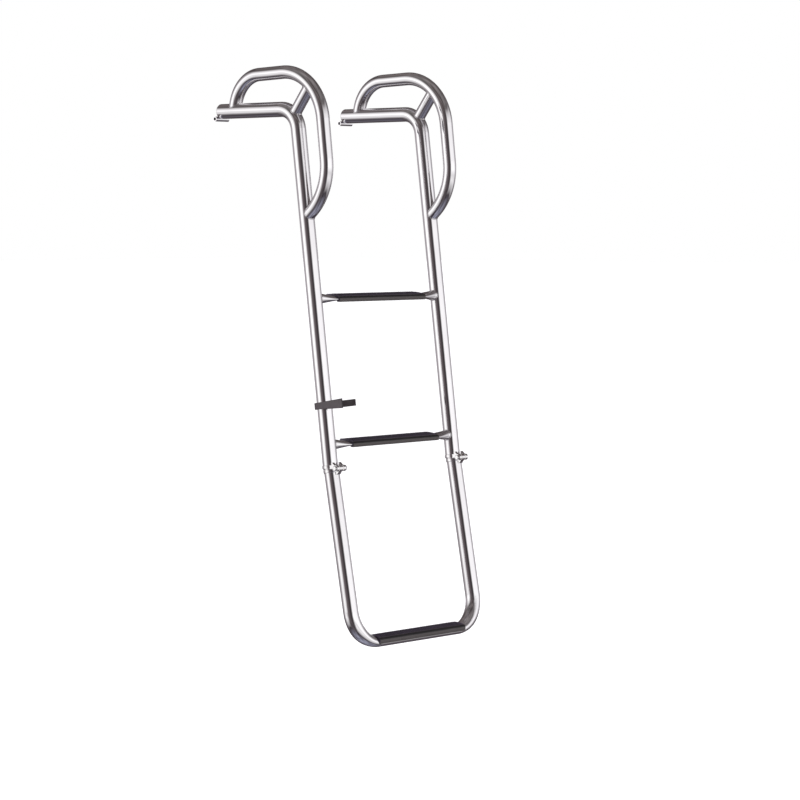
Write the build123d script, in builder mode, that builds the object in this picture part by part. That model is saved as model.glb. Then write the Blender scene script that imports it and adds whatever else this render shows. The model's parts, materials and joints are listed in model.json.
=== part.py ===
from build123d import *
from math import acos, cos, pi, radians, sin, tan
import os

os.makedirs("parts", exist_ok=True)

# Axes: +X runs along the rungs, +Y points over the deck, -Y is the climber's side and +Z is up.
# The origin is the middle of the deck pivot axis, which runs along X through both pivot bushes.

# Tube sizes, mm
rail_r = 12.5
handle_r = 11.0
strut_r = 10.0
rung_r = 8.4
wall = 1.5

# Rails and hook arms
rail_x = 150.0           # rail centre line to the middle of the ladder
arm_z = 12.5             # hook arm centre line above the pivot axis
corner_y = -176.0        # where arm and rail centre lines would cross
arm_end_y = -2.5         # the end cap brings the arm out to the pivot axis
hook_bend = 38.0
rail_lean = 7.4          # degrees that the rails lean away from the boat

# Distances down a rail, measured from the corner of its centre line
upper_rung_down = 311.0
middle_rung_down = 549.5
clip_down = 485.5
hinge_down = 589.0       # the hinge's parting plane

# Hinge
hinge_front = 20.0       # hinge axis in front of the rail centre line
stop_gap = 0.05          # half of the gap left in the parting plane
collar_r = 13.5
collar_len = 6.0
knuckle_r = 5.25
bolt_r = 3.0
bolt_bore_r = 3.05
lower_knuckle_half = 4.0
washer_gap = 0.1
washer_len = 0.8
hinge_half_width = 10.5
parting_chamfer = 1.3    # on both collars, so that the parting plane shows as a groove
head_r = 4.3             # bolt head and dome nut
spigot_r = 10.98
spigot_bore_r = 8.0
spigot_len = 25.0

# Folding lower section
bend_steps = 6
leg_front = 1.5          # its legs start this far in front of the rail centre lines
leg_kink = 3.2           # degrees that its legs lean out more than the rails
leg_len = 287.5          # parting plane to the centre of its bottom bar
leg_bend = 54.0
bar_half = (12.0, 8.3)   # half width and half height of the flattened bottom bar

# Treads
tread_half_len = 105.0
tread_front = 13.9       # nose of the upper and middle treads in front of the rung's centre
tread_back = 18.0
lower_tread_half = 13.4
tread_tilt = 8.0         # degrees that the treads slope down towards the climber
rung_flat_half = (12.0, 3.5)
rung_round_x = 136.5     # outboard of this the rungs are still round
fit_gap = 0.1

# Pivot bushes and arm end caps
bush_r = 4.2
bush_bore_r = 2.6
bush_half_len = 15.0
cap_len = 2.5

# Handles: corners of the centre line, each given from the corner of the rail centre line
handle_corners = [(144.0, 0.0), (130.0, 57.0), (-50.5, 63.2), (-73.0, -132.5)]
handle_bends = [58.5, 88.0, 95.0]
handle_landing_down = 177.5
strut_front = 3.0        # the strut runs this far in front of the middles of the two bends

# Stowage clip
clip_height = 11.0
clip_r = 16.5
clip_front = 55.0
clip_jaw_front = 2 * hinge_front - leg_front
clip_jaw_r = 12.8
clip_tab_height = 16.0   # its outboard wall grows to this at the open end
clip_tab_thick = 3.4


def toward(angle):
    """Directions across and along a line leaning that many degrees away from the boat."""
    front = Vector(0, -cos(radians(angle)), sin(radians(angle)))
    down = Vector(0, -sin(radians(angle)), -cos(radians(angle)))
    return front, down


def on_rail(x, down, front=0.0):
    """Point that far down a rail's centre line and that far in front of it."""
    front_dir, down_dir = toward(rail_lean)
    return Vector(x, corner_y, arm_z) + down_dir * down + front_dir * front


def on_leg(x, down):
    """Point that far down a lower leg's centre line from the parting plane."""
    return on_rail(x, hinge_down, leg_front) + toward(rail_lean + leg_kink)[1] * down


def across_rail(x, down):
    """Plane square to a rail: local x is X, local y is to the front, its normal is down."""
    return Plane(origin=on_rail(x, down), x_dir=(1, 0, 0), z_dir=toward(rail_lean)[1])


def across_leg(x, down):
    """Plane square to a lower leg, laid out as the one across a rail."""
    return Plane(origin=on_leg(x, down), x_dir=(1, 0, 0), z_dir=toward(rail_lean + leg_kink)[1])


def beside_hinge(x):
    """Plane square to the hinge axis: local x is to the front, local y is down the rail."""
    front_dir = toward(rail_lean)[0]
    return Plane(origin=on_rail(x, hinge_down, hinge_front), x_dir=front_dir, z_dir=(1, 0, 0))


def beside_rail(x, down):
    """Plane alongside a rail: local x is to the front, local y is down the rail."""
    return Plane(origin=on_rail(x, down), x_dir=toward(rail_lean)[0], z_dir=(1, 0, 0))


def tread_side(centre, x):
    """Plane square to a tread: local x is to the front, local y is down through the tread."""
    front_dir = Vector(0, -cos(radians(tread_tilt)), -sin(radians(tread_tilt)))
    return Plane(origin=(x, centre.Y, centre.Z), x_dir=front_dir, z_dir=(1, 0, 0))


def bent_line(points, bends):
    """Straight lines joined by tangent bends, drawn in the open BuildLine."""
    start = points[0]
    for before, corner, after, bend in zip(points, points[1:], points[2:], bends):
        corner = Vector(*corner)
        back = (Vector(*before) - corner).normalized()
        ahead = (Vector(*after) - corner).normalized()
        half = acos(back.dot(ahead)) / 2
        middle = corner + (back + ahead).normalized() * (bend / sin(half) - bend)
        enter = corner + back * (bend / tan(half))
        leave = corner + ahead * (bend / tan(half))
        Line(start, (enter.X, enter.Y))
        ThreePointArc((enter.X, enter.Y), (middle.X, middle.Y), (leave.X, leave.Y))
        start = (leave.X, leave.Y)
    Line(start, points[-1])


def rail_line():
    """Centre line of a hook arm and rail, as Y and Z."""
    foot = on_rail(0, hinge_down - collar_len)
    return [(arm_end_y, arm_z), (corner_y, arm_z), (foot.Y, foot.Z)]


def handle_line():
    """Centre line of a handle, as Y and Z."""
    landing = on_rail(0, handle_landing_down)
    corners = [(corner_y + y, arm_z + z) for y, z in handle_corners]
    return corners + [(landing.Y, landing.Z)]


def bend_middle(points, bend):
    """Middle of the first bend in a centre line."""
    before, corner, after = [Vector(*p) for p in points[:3]]
    back = (before - corner).normalized()
    ahead = (after - corner).normalized()
    half = acos(back.dot(ahead)) / 2
    return corner + (back + ahead).normalized() * (bend / sin(half) - bend)


def swept_tube(x, points, bends, outer, inner):
    """Round tube along a bent centre line, added to the open BuildPart; inner 0 leaves it solid."""
    with BuildLine(Plane.YZ.offset(x)) as route:
        bent_line(points, bends)
    start = Plane(origin=route.line @ 0, z_dir=route.line % 0)
    with BuildSketch(start) as section:
        Circle(outer)
        if inner:
            Circle(inner, mode=Mode.SUBTRACT)
    sweep(sections=section.sketch, path=route.line)


def rail_solid(x):
    """Solid with a rail's outside shape, for coping the tube ends that meet it."""
    with BuildPart() as outside:
        swept_tube(x, rail_line(), [hook_bend], rail_r, 0)
    return outside.part


def handle_solid(x):
    """Solid with a handle's outside shape, for coping the strut."""
    with BuildPart() as outside:
        swept_tube(x, handle_line(), handle_bends, handle_r, 0)
    return outside.part


def knuckle(x_from, x_to, lug):
    """Round knuckle on the hinge axis with its lug, added to the open BuildPart."""
    with BuildSketch(beside_hinge(x_from)) as outline:
        Circle(knuckle_r)
        with BuildLine():
            Polyline(*lug, close=True)
        make_face()
    extrude(outline.sketch, amount=x_to - x_from)


def tread_profile(bar_top, front, back, lip_from, below, rise):
    """Crowned cover with a rounded nose and a groove behind it; local y is down."""
    top = bar_top - 1.2
    with BuildLine() as outline:
        Line((-lip_from, below - 1.2), (-lip_from, bar_top + 2.2))
        Line((-lip_from, bar_top + 2.2), (-back + 0.7, bar_top + 1.3))
        ThreePointArc((-back + 0.7, bar_top + 1.3), (-back, bar_top + 0.5), (-back + 0.1, bar_top - 0.3))
        ThreePointArc((-back + 0.1, bar_top - 0.3), (-back + 0.7, bar_top - 0.95), (-back + 1.8, top))
        ThreePointArc((-back + 1.8, top), ((front - back - 2.6) / 2, top - rise), (front - 4.4, top - 0.3))
        Line((front - 4.4, top - 0.3), (front - 4.2, top + 0.9))
        Line((front - 4.2, top + 0.9), (front - 3.3, top + 0.9))
        Line((front - 3.3, top + 0.9), (front - 2.9, top + 0.1))
        ThreePointArc((front - 2.9, top + 0.1), (front, (top + below) / 2 - 0.6), (front - 1.4, below))
        Line((front - 1.4, below), (-lip_from + 1.2, below))
        ThreePointArc((-lip_from + 1.2, below), (-lip_from + 0.35, below - 0.35), (-lip_from, below - 1.2))
    make_face(outline.edges())


def rung(centre, x_side):
    """Half of a rung: flattened under the tread, round where it meets the rail."""
    for grow, how in ((0.0, Mode.ADD), (-wall, Mode.SUBTRACT)):
        with BuildSketch(tread_side(centre, 0)) as flat:
            Ellipse(rung_flat_half[0] + grow, rung_flat_half[1] + grow)
        with BuildSketch(tread_side(centre, x_side * tread_half_len)) as flat_end:
            Ellipse(rung_flat_half[0] + grow, rung_flat_half[1] + grow)
        with BuildSketch(tread_side(centre, x_side * rung_round_x)) as round_end:
            Circle(rung_r + grow)
        extrude(flat.sketch, amount=x_side * tread_half_len, mode=how)
        loft(sections=[flat_end.sketch, round_end.sketch], mode=how)
        extrude(round_end.sketch, amount=x_side * (rail_x - rung_round_x), mode=how)


def lower_half_tube(grow, how):
    """Left half of the folding tube: leg, bend that flattens on its way round, and bottom bar."""
    front_dir, down_dir = toward(rail_lean + leg_kink)
    twist = radians(tread_tilt + rail_lean + leg_kink)
    with BuildSketch(across_leg(-rail_x, collar_len)) as leg:
        Circle(rail_r + grow)
    extrude(leg.sketch, amount=leg_len - leg_bend - collar_len, mode=how)
    sections = []
    for step in range(bend_steps + 1):
        turn = pi / 2 * step / bend_steps
        flat = max(0.0, (step - 2) / (bend_steps - 2))
        flat = flat * flat * (3 - 2 * flat)
        middle = on_leg(-rail_x + leg_bend * (1 - cos(turn)), leg_len - leg_bend + leg_bend * sin(turn))
        ahead = Vector(sin(turn), 0, 0) + down_dir * cos(turn)
        wide = front_dir * cos(twist) + ahead.cross(front_dir) * sin(twist)
        with BuildSketch(Plane(origin=middle, x_dir=wide, z_dir=ahead)) as section:
            Ellipse(rail_r + grow + flat * (bar_half[0] - rail_r),
                    rail_r + grow - flat * (rail_r - bar_half[1]))
        sections.append(section.sketch)
    loft(sections=sections, mode=how)
    with BuildSketch(tread_side(on_leg(0, leg_len), -rail_x + leg_bend)) as bar:
        Ellipse(bar_half[0] + grow, bar_half[1] + grow)
    extrude(bar.sketch, amount=rail_x - leg_bend, mode=how)


sides = (("left", -1), ("right", 1))

# Hook arm and rail, one bent tube on each side, notched for its pivot bush
for side, sign in sides:
    x = sign * rail_x
    with BuildPart() as rail:
        swept_tube(x, rail_line(), [hook_bend], rail_r, rail_r - wall)
        with BuildSketch(Plane.YZ.offset(x - bush_half_len)):
            Circle(bush_r)
        extrude(amount=2 * bush_half_len, mode=Mode.SUBTRACT)
    rail.part.label = f"{side}_rail"
    export_step(rail.part, f"parts/{side}_rail.step")

# Handle tubes, coped to the arm and to the rail
for side, sign in sides:
    x = sign * rail_x
    rail_outside = rail_solid(x)
    with BuildPart() as handle:
        swept_tube(x, handle_line(), handle_bends, handle_r, handle_r - wall)
        add(rail_outside, mode=Mode.SUBTRACT)
    handle.part.label = f"{side}_handle"
    export_step(handle.part, f"parts/{side}_handle.step")

# Struts from the middle of the hook bend to the middle of the handle's front bend
for side, sign in sides:
    x = sign * rail_x
    low = bend_middle(rail_line(), hook_bend) - Vector(strut_front, 0)
    high = bend_middle(handle_line()[1:4], handle_bends[1]) - Vector(strut_front, 0)
    along = Vector(0, high.X - low.X, high.Y - low.Y)
    rail_outside = rail_solid(x)
    handle_outside = handle_solid(x)
    with BuildPart() as strut:
        with BuildSketch(Plane(origin=(x, low.X, low.Y), z_dir=along)):
            Circle(strut_r)
            Circle(strut_r - wall, mode=Mode.SUBTRACT)
        extrude(amount=along.length)
        add(rail_outside, mode=Mode.SUBTRACT)
        add(handle_outside, mode=Mode.SUBTRACT)
    strut.part.label = f"{side}_strut"
    export_step(strut.part, f"parts/{side}_strut.step")

# Cross bushes under the arm ends; the deck pins pass through them
for side, sign in sides:
    x = sign * rail_x
    with BuildPart() as bush:
        with BuildSketch(Plane.YZ.offset(x - bush_half_len)):
            Circle(bush_r)
            Circle(bush_bore_r, mode=Mode.SUBTRACT)
        extrude(amount=2 * bush_half_len)
    bush.part.label = f"{side}_pivot_bush"
    export_step(bush.part, f"parts/{side}_pivot_bush.step")

# Discs that close the arm ends, notched for the bushes
for side, sign in sides:
    x = sign * rail_x
    with BuildPart() as cap:
        with BuildSketch(Plane(origin=(x, arm_end_y, arm_z), x_dir=(1, 0, 0), z_dir=(0, 1, 0))):
            Circle(rail_r)
        extrude(amount=cap_len)
        fillet(cap.edges().sort_by(Axis.Y)[-1], 1.5)
        with BuildSketch(Plane.YZ.offset(x - bush_half_len)):
            Circle(bush_r)
        extrude(amount=2 * bush_half_len, mode=Mode.SUBTRACT)
    cap.part.label = f"{side}_arm_cap"
    export_step(cap.part, f"parts/{side}_arm_cap.step")

# Rungs of the fixed section, coped to both rails
rail_outsides = [rail_solid(-rail_x), rail_solid(rail_x)]
for name, down in (("upper", upper_rung_down), ("middle", middle_rung_down)):
    with BuildPart() as rung_tube:
        for sign in (-1, 1):
            rung(on_rail(0, down), sign)
        add(rail_outsides, mode=Mode.SUBTRACT)
    rung_tube.part.label = f"{name}_rung"
    export_step(rung_tube.part, f"parts/{name}_rung.step")

# Treads of the fixed section, open below so that they snap over the rungs
for name, down in (("upper", upper_rung_down), ("middle", middle_rung_down)):
    with BuildPart() as tread:
        with BuildSketch(tread_side(on_rail(0, down), -tread_half_len)):
            tread_profile(-rung_flat_half[1], tread_front, tread_back, rung_flat_half[0] + 1.6, 4.3, 1.1)
            Ellipse(rung_flat_half[0] + fit_gap, rung_flat_half[1] + fit_gap, mode=Mode.SUBTRACT)
            with Locations((0, 5.0)):
                Rectangle(15.0, 6.0, mode=Mode.SUBTRACT)
        extrude(amount=2 * tread_half_len)
    tread.part.label = f"{name}_tread"
    export_step(tread.part, f"parts/{name}_tread.step")

# Upper hinge halves: collar under the rail, spigot up inside it, two lugs to the front
upper_lug = [(-12.0, -stop_gap), (-12.0, -5.9), (-7.2, -5.9), (-7.2, -10.0), (-5.6, -10.0), (-1.2, -5.1),
             (0.0, 0.0), (-knuckle_r, -stop_gap)]
for side, sign in sides:
    x = sign * rail_x
    lug_from = lower_knuckle_half + 2 * washer_gap + washer_len
    with BuildPart() as hinge_upper:
        with BuildSketch(across_rail(x, hinge_down - collar_len)):
            Circle(collar_r)
        extrude(amount=collar_len - stop_gap)
        chamfer(hinge_upper.edges().sort_by(Axis.Z)[0], parting_chamfer)
        fillet(hinge_upper.edges().sort_by(Axis.Z)[-1], 0.7)
        with BuildSketch(across_rail(x, hinge_down - collar_len)):
            Circle(spigot_r)
        extrude(amount=-spigot_len)
        knuckle(x - hinge_half_width, x - lug_from, upper_lug)
        knuckle(x + lug_from, x + hinge_half_width, upper_lug)
        with BuildSketch(across_rail(x, hinge_down - collar_len - spigot_len)):
            Circle(spigot_bore_r)
        extrude(amount=collar_len + spigot_len, mode=Mode.SUBTRACT)
        with BuildSketch(beside_hinge(x - hinge_half_width)):
            Circle(bolt_bore_r)
        extrude(amount=2 * hinge_half_width, mode=Mode.SUBTRACT)
    hinge_upper.part.label = f"{side}_hinge_upper"
    export_step(hinge_upper.part, f"parts/{side}_hinge_upper.step")

# Lower hinge halves: collar on the leg, spigot down inside it, one middle lug
lower_lug = [(-12.0, stop_gap), (-12.0, 4.6), (-5.0, 4.6), (-5.0, 10.0), (-3.4, 10.0), (1.2, 5.1),
             (0.0, 0.0), (-knuckle_r, stop_gap)]
for side, sign in sides:
    x = sign * rail_x
    with BuildPart() as hinge_lower:
        with BuildSketch(across_leg(x, -3.0)):
            Circle(collar_r)
        extrude(amount=collar_len + 3.0)
        split(bisect_by=across_rail(x, hinge_down + stop_gap), keep=Keep.TOP)
        chamfer(hinge_lower.edges().sort_by(Axis.Z)[-1], parting_chamfer)
        fillet(hinge_lower.edges().sort_by(Axis.Z)[0], 0.7)
        with BuildSketch(across_leg(x, collar_len)):
            Circle(spigot_r)
        extrude(amount=spigot_len)
        knuckle(x - lower_knuckle_half, x + lower_knuckle_half, lower_lug)
        with BuildSketch(across_leg(x, -3.0)):
            Circle(spigot_bore_r)
        extrude(amount=collar_len + spigot_len + 3.0, mode=Mode.SUBTRACT)
        with BuildSketch(beside_hinge(x - lower_knuckle_half)):
            Circle(bolt_bore_r)
        extrude(amount=2 * lower_knuckle_half, mode=Mode.SUBTRACT)
    hinge_lower.part.label = f"{side}_hinge_lower"
    export_step(hinge_lower.part, f"parts/{side}_hinge_lower.step")

# Hinge bolts: button head outboard, shank through both lugs
for side, sign in sides:
    x = sign * rail_x
    with BuildPart() as bolt:
        with BuildSketch(beside_hinge(x + sign * hinge_half_width)):
            Circle(head_r)
        extrude(amount=sign * 2.1)
        fillet(bolt.edges().sort_by(Axis.X)[-1 if sign > 0 else 0], 1.5)
        with BuildSketch(beside_hinge(x + sign * hinge_half_width)):
            Circle(bolt_r)
        extrude(amount=-sign * (2 * hinge_half_width + 1.9))
    bolt.part.label = f"{side}_hinge_bolt"
    export_step(bolt.part, f"parts/{side}_hinge_bolt.step")

# Dome nuts inboard, drilled to take the shank's end
for side, sign in sides:
    x = sign * (rail_x - hinge_half_width)
    with BuildPart() as nut:
        with BuildSketch(beside_hinge(x)):
            RegularPolygon(head_r + 0.2, 6, major_radius=False)
        extrude(amount=-sign * 2.0)
        with BuildSketch(beside_hinge(x - sign * 2.0)):
            Circle(head_r - 0.1)
        extrude(amount=-sign * 1.4)
        fillet(nut.edges().sort_by(Axis.X)[0 if sign > 0 else -1], 1.2)
        with BuildSketch(beside_hinge(x)):
            Circle(bolt_r)
        extrude(amount=-sign * 2.0, mode=Mode.SUBTRACT)
    nut.part.label = f"{side}_hinge_nut"
    export_step(nut.part, f"parts/{side}_hinge_nut.step")

# Thin washers on both sides of each middle knuckle
for side, sign in sides:
    x = sign * rail_x
    with BuildPart() as washers:
        for start in (-lower_knuckle_half - washer_gap - washer_len, lower_knuckle_half + washer_gap):
            with BuildSketch(beside_hinge(x + start)):
                Circle(knuckle_r - 0.2)
                Circle(bolt_bore_r, mode=Mode.SUBTRACT)
            extrude(amount=washer_len)
    washers.part.label = f"{side}_hinge_washers"
    export_step(washers.part, f"parts/{side}_hinge_washers.step")

# Folding lower section: two legs and a flattened bottom bar, one bent tube
with BuildPart() as lower_frame:
    lower_half_tube(0.0, Mode.ADD)
    lower_half_tube(-wall, Mode.SUBTRACT)
    mirror(about=Plane.YZ)
lower_frame.part.label = "lower_frame"
export_step(lower_frame.part, "parts/lower_frame.step")

# Tread of the lower section, snapped over the top of the bottom bar and the ends of its bends
with BuildPart() as lower_tread:
    with BuildSketch(tread_side(on_leg(0, leg_len), -tread_half_len)):
        tread_profile(-bar_half[1], lower_tread_half, lower_tread_half, lower_tread_half, 0.6, 1.1)
    extrude(amount=tread_half_len)
    lower_half_tube(fit_gap, Mode.SUBTRACT)
    mirror(about=Plane.YZ)
lower_tread.part.label = "lower_tread"
export_step(lower_tread.part, "parts/lower_tread.step")

# Stowage clip on the left rail: a ring round the rail and an open jaw for the folded leg
with BuildPart() as clip:
    with BuildSketch(across_rail(-rail_x, clip_down - clip_height / 2)):
        Circle(clip_r)
        with Locations((0, clip_front / 2)):
            Rectangle(2 * clip_r, clip_front)
    extrude(amount=clip_height)
    with BuildSketch(beside_rail(-rail_x - clip_r, clip_down)):
        with BuildLine():
            Polyline((0, -clip_height / 2), (clip_front, -clip_tab_height / 2),
                     (clip_front, clip_tab_height / 2), (0, clip_height / 2), close=True)
        make_face()
    extrude(amount=clip_tab_thick)
    with BuildSketch(across_rail(-rail_x, clip_down - clip_tab_height / 2)):
        Circle(rail_r + stop_gap)
        with Locations((0, clip_jaw_front)):
            Circle(clip_jaw_r)
        with Locations((0, clip_jaw_front + 15.0)):
            Rectangle(2 * clip_jaw_r, 30.0)
        with BuildLine():
            Polyline((-clip_jaw_r, clip_front - 5.0), (-clip_r + 1.5, clip_front + 0.1),
                     (clip_r - 1.5, clip_front + 0.1), (clip_jaw_r, clip_front - 5.0), close=True)
        make_face()
    extrude(amount=clip_tab_height, mode=Mode.SUBTRACT)
    fillet(clip.faces().sort_by(Axis.X)[0].edges(), 1.0)
    fillet(clip.faces().sort_by(Axis.X)[-1].edges(), 1.0)
clip.part.label = "stowage_clip"
export_step(clip.part, "parts/stowage_clip.step")
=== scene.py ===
import json
import math

import bpy
import numpy as np
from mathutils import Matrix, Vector
from mathutils.bvhtree import BVHTree


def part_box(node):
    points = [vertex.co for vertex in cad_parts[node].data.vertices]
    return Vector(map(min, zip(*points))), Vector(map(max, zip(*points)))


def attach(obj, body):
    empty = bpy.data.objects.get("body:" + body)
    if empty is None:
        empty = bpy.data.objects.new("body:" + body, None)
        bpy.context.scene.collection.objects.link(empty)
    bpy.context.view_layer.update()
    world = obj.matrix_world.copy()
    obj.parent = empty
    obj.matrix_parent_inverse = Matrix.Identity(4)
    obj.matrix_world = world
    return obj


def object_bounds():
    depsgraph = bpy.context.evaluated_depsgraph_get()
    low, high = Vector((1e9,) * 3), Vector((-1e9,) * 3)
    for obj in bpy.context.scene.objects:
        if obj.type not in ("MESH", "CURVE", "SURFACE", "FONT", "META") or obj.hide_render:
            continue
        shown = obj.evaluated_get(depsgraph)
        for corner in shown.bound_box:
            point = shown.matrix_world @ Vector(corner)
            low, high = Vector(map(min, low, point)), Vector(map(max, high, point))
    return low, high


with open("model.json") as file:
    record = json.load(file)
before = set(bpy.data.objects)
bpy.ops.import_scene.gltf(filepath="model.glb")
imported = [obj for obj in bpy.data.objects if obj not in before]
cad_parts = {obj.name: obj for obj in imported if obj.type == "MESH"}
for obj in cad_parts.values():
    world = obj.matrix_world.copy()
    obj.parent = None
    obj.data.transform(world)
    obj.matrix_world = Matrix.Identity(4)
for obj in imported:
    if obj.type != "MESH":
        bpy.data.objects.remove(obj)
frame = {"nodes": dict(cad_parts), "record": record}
cad_low, cad_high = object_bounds()
nodes = frame["nodes"]
scene = bpy.context.scene

# Lengths are in metres, unless a comment says otherwise.

# ---------------------------------------------------------------- camera

VIEW_AZIMUTH = math.radians(-47.56)
VIEW_ELEVATION = math.radians(3.58)
VIEW_DISTANCE = 4.856
VIEW_TARGET = Vector((0.0996, -0.176, -0.474))     # the point in the middle of the picture
FOCAL_LENGTH = 128.3                               # millimetres, like the sensor
SENSOR_WIDTH = 36.0

view_back = Vector((math.sin(VIEW_AZIMUTH) * math.cos(VIEW_ELEVATION),
                    -math.cos(VIEW_AZIMUTH) * math.cos(VIEW_ELEVATION),
                    math.sin(VIEW_ELEVATION)))
view_right = Vector((math.cos(VIEW_AZIMUTH), math.sin(VIEW_AZIMUTH), 0))


def aim(thing, direction):
    """Turn a camera or light to look along a direction."""
    thing.rotation_mode = "QUATERNION"
    thing.rotation_quaternion = direction.to_track_quat("-Z", "Y")


def make_camera():
    """Long-lens camera, a little above the middle of the ladder and to its left."""
    data = bpy.data.cameras.new("camera")
    data.lens = FOCAL_LENGTH
    data.sensor_width = SENSOR_WIDTH
    camera = bpy.data.objects.new("camera", data)
    camera.location = VIEW_TARGET + view_back * VIEW_DISTANCE
    aim(camera, -view_back)
    scene.collection.objects.link(camera)
    scene.camera = camera


make_camera()


# ---------------------------------------------------------------- node helpers

def rgba(colour):
    """Colour with full opacity, from three numbers or from one for a grey."""
    return (*colour, 1.0) if isinstance(colour, tuple) else (colour, colour, colour, 1.0)


class Nodes:
    """Short way to build the node tree of a material or world."""

    def __init__(self, owner):
        owner.use_nodes = True
        owner.node_tree.nodes.clear()
        self.tree = owner.node_tree

    def add(self, kind, settings=None, **inputs):
        """New node, its inputs given by name, with _ for a space."""
        node = self.tree.nodes.new(kind)
        for key, value in (settings or {}).items():
            setattr(node, key, value)
        for key, value in inputs.items():
            self.put(node, key.replace("_", " "), value)
        return node

    def put(self, node, key, value):
        """Link a socket to a node's input, or set the input to a plain value."""
        socket = node.inputs[key]
        if isinstance(value, bpy.types.NodeSocket):
            self.tree.links.new(value, socket)
        else:
            socket.default_value = value

    def math(self, operation, *values, clamp=False):
        node = self.add("ShaderNodeMath", {"operation": operation, "use_clamp": clamp})
        for index, value in enumerate(values):
            self.put(node, index, value)
        return node.outputs[0]

    def dot(self, direction, axis):
        node = self.add("ShaderNodeVectorMath", {"operation": "DOT_PRODUCT"})
        self.put(node, 0, direction)
        self.put(node, 1, tuple(axis))
        return node.outputs["Value"]

    def mix(self, factor, a, b, blend="MIX"):
        node = self.add("ShaderNodeMix", {"data_type": "RGBA", "blend_type": blend})
        for index, value in ((0, factor), (6, a), (7, b)):
            self.put(node, index, value)
        return node.outputs[2]

    def ramp(self, factor, stops):
        """Colour ramp through (position, colour or grey) stops."""
        node = self.add("ShaderNodeValToRGB")
        elements = node.color_ramp.elements
        while len(elements) < len(stops):
            elements.new(0.5)
        for element, (position, colour) in zip(elements, stops):
            element.position = position
            element.color = rgba(colour)
        self.put(node, 0, factor)
        return node.outputs[0]

    def noise(self, where, scale, detail=2.0, roughness=0.5):
        node = self.add("ShaderNodeTexNoise", Vector=where, Scale=scale, Detail=detail,
                        Roughness=roughness)
        return node.outputs["Fac"]

    def stretched(self, where, scale):
        return self.add("ShaderNodeMapping", Vector=where, Scale=scale).outputs[0]

    def coordinates(self, kind):
        return self.add("ShaderNodeTexCoord").outputs[kind]

    def split(self, vector):
        return self.add("ShaderNodeSeparateXYZ", Vector=vector).outputs

    def bump(self, height, strength, distance, below=None):
        """Bump on top of another normal, if one is given."""
        node = self.add("ShaderNodeBump", Height=height, Strength=strength, Distance=distance)
        if below is not None:
            self.put(node, "Normal", below)
        return node.outputs[0]

    def output(self, kind, shader):
        self.put(self.add(kind), "Surface", shader.outputs[0])


# ---------------------------------------------------------------- studio

# What a polished tube mirrors, with angles in degrees. A turn is to the right, from straight behind
# the camera.
# The walls, by turn: a white one on each side of a dark gap.
WALLS = [
    (-180, (0.36, 0.34, 0.36)), (-125, (0.40, 0.37, 0.39)), (-107, (0.50, 0.48, 0.49)),
    (-94, (1.08, 1.065, 1.075)), (-76, (1.50, 1.50, 1.50)), (-47, (0.66, 0.64, 0.65)),
    (-41, (0.20, 0.175, 0.18)), (-27, (0.13, 0.110, 0.115)), (-12, (0.085, 0.070, 0.075)),
    (2, (0.034, 0.029, 0.031)), (12, (0.050, 0.043, 0.045)), (22, (0.55, 0.54, 0.55)),
    (28, (1.22, 1.21, 1.22)), (98, (1.14, 1.13, 1.15)), (114, (0.56, 0.54, 0.56)),
    (130, (0.40, 0.38, 0.40)), (179.9, (0.36, 0.34, 0.36)),
]
# What lies beyond them, by elevation: a violet floor and a brown ceiling.
OUTSIDE = [
    (-90, (0.27, 0.275, 0.35)), (-62, (0.23, 0.230, 0.29)), (-50, (0.135, 0.128, 0.158)),
    (-41, (0.075, 0.064, 0.072)), (0, (0.11, 0.095, 0.10)), (30, (0.105, 0.088, 0.088)),
    (44, (0.125, 0.108, 0.108)), (65, (0.145, 0.127, 0.127)), (90, (0.20, 0.180, 0.180)),
]
# Uneven brightness of that floor and ceiling, by noise.
PATCHES = [(0.36, 0.42), (0.47, 0.85), (0.56, 1.10), (0.66, 1.50)]
# How much of the wall shows, by elevation, and the same beyond the ladder, where the walls are low.
WALL_SHARE = [
    (-40, 0.0), (-30, 0.38), (-17, 0.74), (-9, 0.62), (0, 0.97), (8, 0.92), (26, 0.52), (36, 0.06),
]
FAR_SHARE = [(-14, 0.0), (-6, 1.0), (6, 1.0), (14, 0.0)]
# How far a turn counts as beyond the ladder.
FAR_SIDE = [(-140, 1.0), (-112, 0.0), (112, 0.0), (140, 1.0)]
SOFT_LIGHT = (0.34, 0.33, 0.36)     # what matt surfaces get from the world
BACKDROP = 1.0                      # what the camera sees of it


def round_turn(stops):
    """Ramp stops over a full turn, -180 to 180 degrees."""
    return [(angle / 360.0 + 0.5, value) for angle, value in stops]


def bottom_to_top(stops):
    """Ramp stops over elevation, -90 to 90 degrees."""
    return [(angle / 180.0 + 0.5, value) for angle, value in stops]


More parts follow.
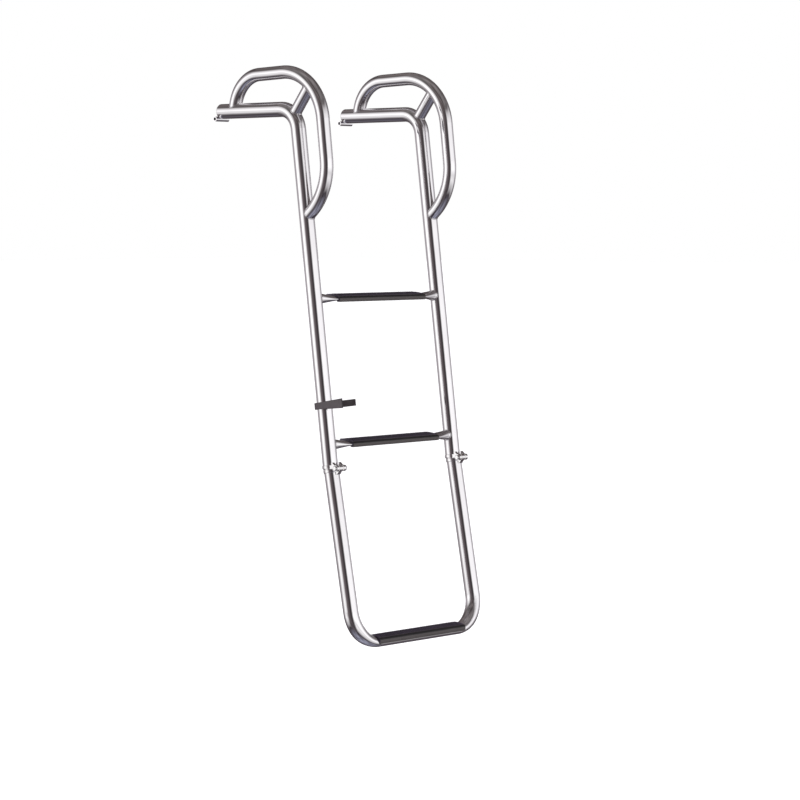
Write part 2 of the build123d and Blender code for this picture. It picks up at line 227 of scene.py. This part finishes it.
def make_world():
    """The studio walls, floor and ceiling for reflections, with plain soft light and a white backdrop."""
    world = bpy.data.worlds.new("studio")
    scene.world = world
    n = Nodes(world)
    direction = n.coordinates("Generated")
    behind_camera = n.dot(direction, Vector((view_back.x, view_back.y, 0)).normalized())
    aside = n.dot(direction, view_right)
    height = n.dot(direction, (0, 0, 1))
    turn = n.math("MULTIPLY_ADD", n.math("ARCTAN2", aside, behind_camera), 0.5 / math.pi, 0.5)
    elevation = n.math("MULTIPLY_ADD", n.math("ARCSINE", height), 1 / math.pi, 0.5)

    walls = n.ramp(turn, round_turn(WALLS))
    patches = n.ramp(n.noise(n.stretched(direction, (1.0, 1.0, 2.2)), 2.6, 3.0, 0.55), PATCHES)
    outside = n.mix(1.0, n.ramp(elevation, bottom_to_top(OUTSIDE)), patches, "MULTIPLY")
    share = n.mix(n.ramp(turn, round_turn(FAR_SIDE)),
                  n.ramp(elevation, bottom_to_top(WALL_SHARE)),
                  n.ramp(elevation, bottom_to_top(FAR_SHARE)))
    mirrored = n.mix(share, outside, walls)

    rays = n.add("ShaderNodeLightPath").outputs
    lit = n.mix(rays["Is Diffuse Ray"], mirrored, rgba(SOFT_LIGHT))
    shown = n.mix(rays["Is Camera Ray"], lit, rgba(BACKDROP))
    n.output("ShaderNodeOutputWorld", n.add("ShaderNodeBackground", Color=shown, Strength=1.0))


LIGHT_DISTANCE = 3.2


def light(name, kind, energy, **settings):
    """Light that shapes the matt parts; the mirror-like parts see the world instead."""
    data = bpy.data.lights.new(name, kind)
    data.energy = energy
    for key, value in settings.items():
        setattr(data, key, value)
    lamp = bpy.data.objects.new(name, data)
    lamp.visible_glossy = False
    scene.collection.objects.link(lamp)
    return lamp


def area_light(name, direction, size, energy):
    """Large lamp that shines on the middle of the ladder from a direction."""
    lamp = light(name, "AREA", energy, size=size)
    direction = direction.normalized()
    lamp.location = (cad_low + cad_high) / 2 + direction * LIGHT_DISTANCE
    aim(lamp, -direction)
    lamp.visible_camera = False


FLOOR_DROP = 0.45       # from the ladder's foot down to the floor
FLOOR_REACH = 60.0
FLOOR_WHITE = 0.97
FLOOR_GLOW = 0.22


def make_floor():
    """Plain pale floor, bright enough that its far edge doesn't show against the backdrop."""
    mesh = bpy.data.meshes.new("floor")
    corners = [(x * FLOOR_REACH, y * FLOOR_REACH, cad_low.z - FLOOR_DROP)
               for x, y in ((-1, -1), (1, -1), (1, 1), (-1, 1))]
    mesh.from_pydata(corners, [], [(0, 1, 2, 3)])
    floor = bpy.data.objects.new("floor", mesh)
    scene.collection.objects.link(floor)
    material = bpy.data.materials.new("studio_floor")
    n = Nodes(material)
    paint = n.add("ShaderNodeBsdfDiffuse", Color=rgba(FLOOR_WHITE), Roughness=0.0)
    glow = n.add("ShaderNodeEmission", Color=rgba(1.0), Strength=FLOOR_GLOW)
    both = n.add("ShaderNodeAddShader")
    n.put(both, 0, paint.outputs[0])
    n.put(both, 1, glow.outputs[0])
    n.output("ShaderNodeOutputMaterial", both)
    mesh.materials.append(material)
    floor.visible_glossy = False


make_world()
area_light("key", view_back * 0.50 - view_right * 0.85 + Vector((0, 0, 0.45)), 1.6, 105)
area_light("fill", view_back * 0.7 + view_right * 0.6 + Vector((0, 0, 0.25)), 2.0, 22)
light("overhead", "SUN", 2.0, angle=math.radians(50))
make_floor()

scene.view_settings.view_transform = "Standard"
scene.view_settings.look = "None"
scene.cycles.use_denoising = True
scene.cycles.max_bounces = 8


# ---------------------------------------------------------------- materials

rail_low, rail_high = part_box("left_rail")
RAIL_X = -(rail_low.x + rail_high.x) / 2

SMEAR_TINT = (0.93, 0.92, 0.93)     # a smear's colour against clean steel
SCRATCH_GREY = 0.45
DUST = (0.12, 0.11, 0.115)
SHADOW = (0.006, 0.005, 0.006)      # the dark line where a tread's nose turns over to its top


def steel(name, tint, low, high, grain, waves, pits):
    """Polished stainless steel: lengthways polishing lines, smears, hairline scratches, slow waves.

    low and high are the roughness where it is clean and where it is smeared or scratched.
    """
    material = bpy.data.materials.new(name)
    n = Nodes(material)
    where = n.coordinates("Object")
    smear = n.ramp(n.noise(where, 14.0, 3.0), [(0.35, 0.0), (0.72, 1.0)])
    lines = n.noise(n.stretched(where, (1.0, 1.0, 0.06)), 900.0, 2.0, 0.6)
    blotch = n.ramp(n.noise(where, 42.0, 4.0, 0.65), [(0.40, 0.0), (0.66, 1.0)])
    hair = n.add("ShaderNodeTexVoronoi", {"feature": "DISTANCE_TO_EDGE"},
                 Vector=n.stretched(where, (1.0, 1.0, 0.12)), Scale=160.0)
    scratch = n.math("MULTIPLY",
                     n.ramp(hair.outputs["Distance"], [(0.0, 1.0), (0.012, 0.0)]),
                     n.ramp(n.noise(where, 30.0, 2.0), [(0.55, 0.0), (0.70, 1.0)]))
    wear = n.math("MULTIPLY_ADD", smear, 0.55, n.math("MULTIPLY", lines, 0.25))
    wear = n.math("ADD", wear, n.math("MULTIPLY", blotch, 0.20), clamp=True)
    wear = n.math("ADD", wear, n.math("MULTIPLY", scratch, 0.6), clamp=True)
    rough = n.math("MULTIPLY_ADD", wear, high - low, low)
    smeared = tuple(part * share for part, share in zip(tint, SMEAR_TINT))
    colour = n.mix(smear, rgba(tint), rgba(smeared))
    colour = n.mix(n.math("MULTIPLY", scratch, 0.25), colour, rgba(SCRATCH_GREY))
    normal = n.bump(n.noise(where, 26.0, 1.0), waves, 0.004)
    normal = n.bump(lines, grain, 0.0002, normal)
    if pits:
        pit = n.ramp(n.noise(where, 420.0, 3.0), [(0.30, 0.0), (0.42, 1.0)])
        normal = n.bump(pit, pits, 0.0003, normal)
    n.output("ShaderNodeOutputMaterial", n.add(
        "ShaderNodeBsdfPrincipled", Base_Color=colour, Metallic=1.0, Roughness=rough, Normal=normal))
    return material


def plastic(name, dark, light_cloud_and_highlight, low, high, grain_scale, lit_front=None, lit_outboard=None):
    """Moulded plastic: pebble grain, cloudy colour and a little dust.

    The front tint is for the faces towards the climber. It is painted light: they are lighter than the top
    because of how the light falls on them. Where they turn over to the top they get painted shade, a dark
    line, and just below the top a thin painted highlight in the lighter cloud colour.
    The outboard tint is for the faces turned to -X, outside the left rail. It is painted light: a lighter
    copy of the plastic on the side that faces the light.
    """
    material = bpy.data.materials.new(name)
    n = Nodes(material)
    where = n.coordinates("Object")
    pebble = n.add("ShaderNodeTexVoronoi", {"feature": "SMOOTH_F1"}, Vector=where, Scale=grain_scale)
    cloud = n.ramp(n.noise(where, 35.0, 4.0, 0.6), [(0.35, 0.0), (0.70, 1.0)])
    dust = n.ramp(n.noise(where, 260.0, 5.0, 0.7), [(0.52, 0.0), (0.80, 1.0)])
    colour = n.mix(cloud, rgba(dark), rgba(light_cloud_and_highlight))
    if lit_front:
        # Painted light and shade by the way a face points: a lighter front on faces towards the climber, a
        # painted shade line where they turn over to the top, and a thin painted highlight just below the top.
        facing = n.split(n.coordinates("Normal"))
        nose = n.ramp(n.math("MULTIPLY_ADD", facing["Z"], 0.5, 0.5), [
            (0.30, lit_front), (0.60, lit_front), (0.68, SHADOW), (0.93, SHADOW),
            (0.955, light_cloud_and_highlight), (1.0, dark)])
        toward_climber = n.math("MULTIPLY_ADD", facing["Y"], -5.0, -0.2, clamp=True)
        colour = n.mix(toward_climber, colour, nose)
    if lit_outboard:
        # Painted light: faces turned to -X outside the left rail take the lighter outboard tint, as if lit
        # from that side.
        facing = n.split(n.coordinates("Normal"))
        outward = n.math("MULTIPLY_ADD", facing["X"], -8.0, -6.6, clamp=True)
        outside_rail = n.math("LESS_THAN", n.split(where)["X"], -RAIL_X)
        colour = n.mix(n.math("MULTIPLY", outward, outside_rail), colour,
                       n.mix(cloud, rgba(lit_outboard), rgba(light_cloud_and_highlight)))
    colour = n.mix(n.math("MULTIPLY", dust, 0.10), colour, rgba(DUST))
    wear = n.math("ADD", n.math("MULTIPLY", cloud, 0.6), n.math("MULTIPLY", dust, 0.4))
    rough = n.math("MULTIPLY_ADD", wear, high - low, low)
    normal = n.bump(pebble.outputs["Distance"], 0.35, 0.0004)
    normal = n.bump(n.noise(where, 1500.0, 2.0), 0.12, 0.0002, normal)
    n.output("ShaderNodeOutputMaterial", n.add(
        "ShaderNodeBsdfPrincipled", Base_Color=colour, Roughness=rough, Normal=normal))
    return material


STEELS = {
    "polished_tube": dict(tint=(0.93, 0.92, 0.93), low=0.020, high=0.080,
                          grain=0.012, waves=0.085, pits=0.0),
    "hinge_steel": dict(tint=(0.95, 0.94, 0.94), low=0.030, high=0.10,
                        grain=0.03, waves=0.015, pits=0.03),
    "fastener_steel": dict(tint=(0.95, 0.94, 0.94), low=0.025, high=0.09,
                           grain=0.03, waves=0.015, pits=0.0),
}
PLASTICS = {
    # The tread's front tint is painted light, and its lighter cloud colour also paints a highlight on the
    # nose.
    "tread_plastic": dict(dark=(0.026, 0.020, 0.034), light_cloud_and_highlight=(0.038, 0.030, 0.046),
                          low=0.40, high=0.60, grain_scale=1100.0, lit_front=(0.052, 0.045, 0.044)),
    # The clip's outboard tint is painted light.
    "clip_plastic": dict(dark=(0.014, 0.011, 0.012), light_cloud_and_highlight=(0.034, 0.028, 0.031),
                         low=0.34, high=0.52, grain_scale=1400.0, lit_outboard=(0.036, 0.030, 0.033)),
    "washer_nylon": dict(dark=(0.70, 0.69, 0.64), light_cloud_and_highlight=(0.76, 0.75, 0.71),
                         low=0.35, high=0.5, grain_scale=1600.0),
}
SLOTS = {name: steel(name, **look) for name, look in STEELS.items()}
SLOTS.update({name: plastic(name, **look) for name, look in PLASTICS.items()})


def smooth(mesh):
    for polygon in mesh.polygons:
        polygon.use_smooth = True


for part in frame["record"]["subparts"]:
    node = nodes[part["node"]]
    for material_slot in node.material_slots:
        material_slot.material = SLOTS[part["material_slot"]]
    smooth(node.data)


# ---------------------------------------------------------------- added detail

def piece(name, vertices, faces, slot, body):
    """Mesh object made of given vertices, riding on a body."""
    mesh = bpy.data.meshes.new(name)
    mesh.from_pydata([tuple(v) for v in vertices], [], faces)
    mesh.validate()
    mesh.update()
    mesh.materials.append(SLOTS[slot])
    smooth(mesh)
    thing = bpy.data.objects.new(name, mesh)
    scene.collection.objects.link(thing)
    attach(thing, body)
    return thing


def surface(node):
    """Search tree of a CAD node's mesh."""
    mesh = nodes[node].data
    return BVHTree.FromPolygons([v.co for v in mesh.vertices], [p.vertices for p in mesh.polygons])


trees = {name: surface(name) for name in nodes}

# ---------------------------------------------------------------- weld beads

SEAM_TOUCH = 0.00035        # a tube's point this near another part lies in their joint
SEAM_GAP = 0.010            # points further apart than this belong to different joints
SEAM_LEAST = 12             # fewer points than this are no joint
RIM_SHARE = 0.955           # of the widest radius nearby: points inside it are the tube's inner edge
RIM_WINDOW = 0.35           # radians each way that count as nearby

BEAD_R = 0.0009
HANDLE_BEAD_R = 0.00095
BEAD_STEP = 0.0007
BEAD_SIDES = 8
RIPPLE_LENGTH = 0.0024
RIPPLE_SHARE = 0.13         # of the bead's radius


def clusters(points):
    """Points sorted into groups that lie well apart."""
    groups = []
    while points:
        group = [points.pop()]
        for member in group:        # the group grows as its members find their neighbours
            near = [p for p in points if (p - member).length < SEAM_GAP]
            points = [p for p in points if (p - member).length >= SEAM_GAP]
            group.extend(near)
        if len(group) >= SEAM_LEAST:
            groups.append(group)
    return groups


def seams(node, other):
    """Centre and closed loop of points, wherever the outside of a tube's end meets another part."""
    joined = [v.co.copy() for v in nodes[node].data.vertices
              if trees[other].find_nearest(v.co, SEAM_TOUCH)[0] is not None]
    loops = []
    for group in clusters(joined):
        cloud = np.array([tuple(p) for p in group])
        centre = cloud.mean(axis=0)
        axes = np.linalg.svd(cloud - centre)[2]
        u, v = (cloud - centre) @ axes[0], (cloud - centre) @ axes[1]
        angle, radius = np.arctan2(v, u), np.hypot(u, v)
        rim = []
        for index in np.argsort(angle):
            apart = np.abs((angle - angle[index] + math.pi) % (2 * math.pi) - math.pi)
            if radius[index] > RIM_SHARE * radius[apart < RIM_WINDOW].max():
                rim.append(Vector(cloud[index]))
        loops.append((Vector(centre), rim))
    return loops


def spaced(loop, count):
    """Evenly spaced points along a closed loop, lightly smoothed."""
    closed = loop + [loop[0]]
    lengths = [0.0]
    for before, after in zip(closed, closed[1:]):
        lengths.append(lengths[-1] + (after - before).length)
    out = []
    index = 0
    for step in range(count):
        want = lengths[-1] * step / count
        while lengths[index + 1] < want:
            index += 1
        part = (want - lengths[index]) / max(lengths[index + 1] - lengths[index], 1e-9)
        out.append(closed[index].lerp(closed[index + 1], part))
    for _ in range(2):
        out = [(out[i - 1] + out[i] * 2 + out[(i + 1) % count]) / 4 for i in range(count)]
    return out


def bead(centre, loop, size):
    """Vertices and faces of a rippled ring of weld along a loop."""
    length = sum((b - a).length for a, b in zip(loop, loop[1:] + loop[:1]))
    count = max(48, int(length / BEAD_STEP))
    ripples = round(length / RIPPLE_LENGTH)
    ring = spaced(loop, count)
    vertices, faces = [], []
    for i, point in enumerate(ring):
        ahead = (ring[(i + 1) % count] - ring[i - 1]).normalized()
        outward = point - centre
        outward = (outward - ahead * outward.dot(ahead)).normalized()
        beside = ahead.cross(outward)
        ripple = 1.0 + RIPPLE_SHARE * math.cos(2 * math.pi * ripples * i / count)
        for j in range(BEAD_SIDES):
            turn = 2 * math.pi * j / BEAD_SIDES
            vertices.append(point + (outward * math.cos(turn) + beside * math.sin(turn)) * size * ripple)
    for i in range(count):
        here, onward = i * BEAD_SIDES, (i + 1) % count * BEAD_SIDES
        for j in range(BEAD_SIDES):
            k = (j + 1) % BEAD_SIDES
            faces.append((here + j, here + k, onward + k, onward + j))
    return vertices, faces


def weld(name, node, other, size=BEAD_R):
    """Weld bead round each place where a tube's end meets another part."""
    for number, (centre, loop) in enumerate(seams(node, other)):
        piece(f"{name}_{number}", *bead(centre, loop, size), "polished_tube", "ladder")


for side in ("left", "right"):
    rail, handle, strut = f"{side}_rail", f"{side}_handle", f"{side}_strut"
    weld(f"{side}_handle_weld", handle, rail, HANDLE_BEAD_R)
    weld(f"{side}_strut_foot_weld", strut, rail)
    weld(f"{side}_strut_head_weld", strut, handle)
    weld(f"{side}_upper_rung_weld", "upper_rung", rail)
    weld(f"{side}_middle_rung_weld", "middle_rung", rail)


# ---------------------------------------------------------------- tread grip

TREAD_TILT = math.radians(8)        # down towards the climber
STUD_PITCH = 0.0046
STUD_ROW_PITCH = 0.0042
STUD_SIDES = 8
STUD_RINGS = ((0.00165, -0.00015), (0.00150, 0.00030), (0.00105, 0.00058))     # radius, height over the tread
PLAIN_END = 0.004                   # left free of studs at each end of a tread
PLAIN_EDGE = 0.0045                 # and at the nose and the back
ROWS_BACK = 0.0010                  # the rows' shift away from the nose
LEAST_UPRIGHT = 0.93                # vertical part of the normal below which no stud stands
DROP_FROM = 0.05                    # height from which a stud's place is looked for


def stud(spot, normal):
    """Vertices of one low rounded stud, ring by ring from its foot."""
    along_rung = Vector((1, 0, 0))
    across_rung = normal.cross(along_rung).normalized()
    vertices = []
    for radius, lift in STUD_RINGS:
        for j in range(STUD_SIDES):
            turn = 2 * math.pi * (j + 0.5) / STUD_SIDES
            vertices.append(spot + normal * lift
                            + (along_rung * math.cos(turn) - across_rung * math.sin(turn)) * radius)
    return vertices


def stud_faces(base):
    """Side faces and flat top of a stud whose vertices start at base."""
    faces = []
    for ring in range(len(STUD_RINGS) - 1):
        lower, upper = base + ring * STUD_SIDES, base + (ring + 1) * STUD_SIDES
        for j in range(STUD_SIDES):
            k = (j + 1) % STUD_SIDES
            faces.append((lower + j, lower + k, upper + k, upper + j))
    top = base + (len(STUD_RINGS) - 1) * STUD_SIDES
    return faces + [tuple(top + j for j in range(STUD_SIDES))]


def grip(tread, body):
    """Staggered rows of studs over the top of a tread."""
    low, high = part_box(tread)
    slope = Vector((0, -math.cos(TREAD_TILT), -math.sin(TREAD_TILT)))
    middle = Vector((0, (low.y + high.y) / 2, (low.z + high.z) / 2))
    columns = int((high.x - low.x - 2 * PLAIN_END) / 2 / STUD_PITCH)
    rows = int(((high.y - low.y) / 2 - PLAIN_EDGE) / STUD_ROW_PITCH)
    vertices, faces = [], []
    for row in range(-rows, rows + 1):
        for column in range(-columns, columns + 1):
            x = (column + (0.5 if row % 2 else 0.0)) * STUD_PITCH
            if abs(x) > columns * STUD_PITCH:
                continue
            start = middle + slope * (row * STUD_ROW_PITCH - ROWS_BACK) + Vector((x, 0, DROP_FROM))
            spot, normal = trees[tread].ray_cast(start, Vector((0, 0, -1)))[:2]
            if spot is None or normal.z < LEAST_UPRIGHT:
                continue
            faces.extend(stud_faces(len(vertices)))
            vertices.extend(stud(spot, normal))
    piece(f"{tread}_grip", vertices, faces, "tread_plastic", body)


grip("upper_tread", "ladder")
grip("middle_tread", "ladder")
grip("lower_tread", "lower_section")
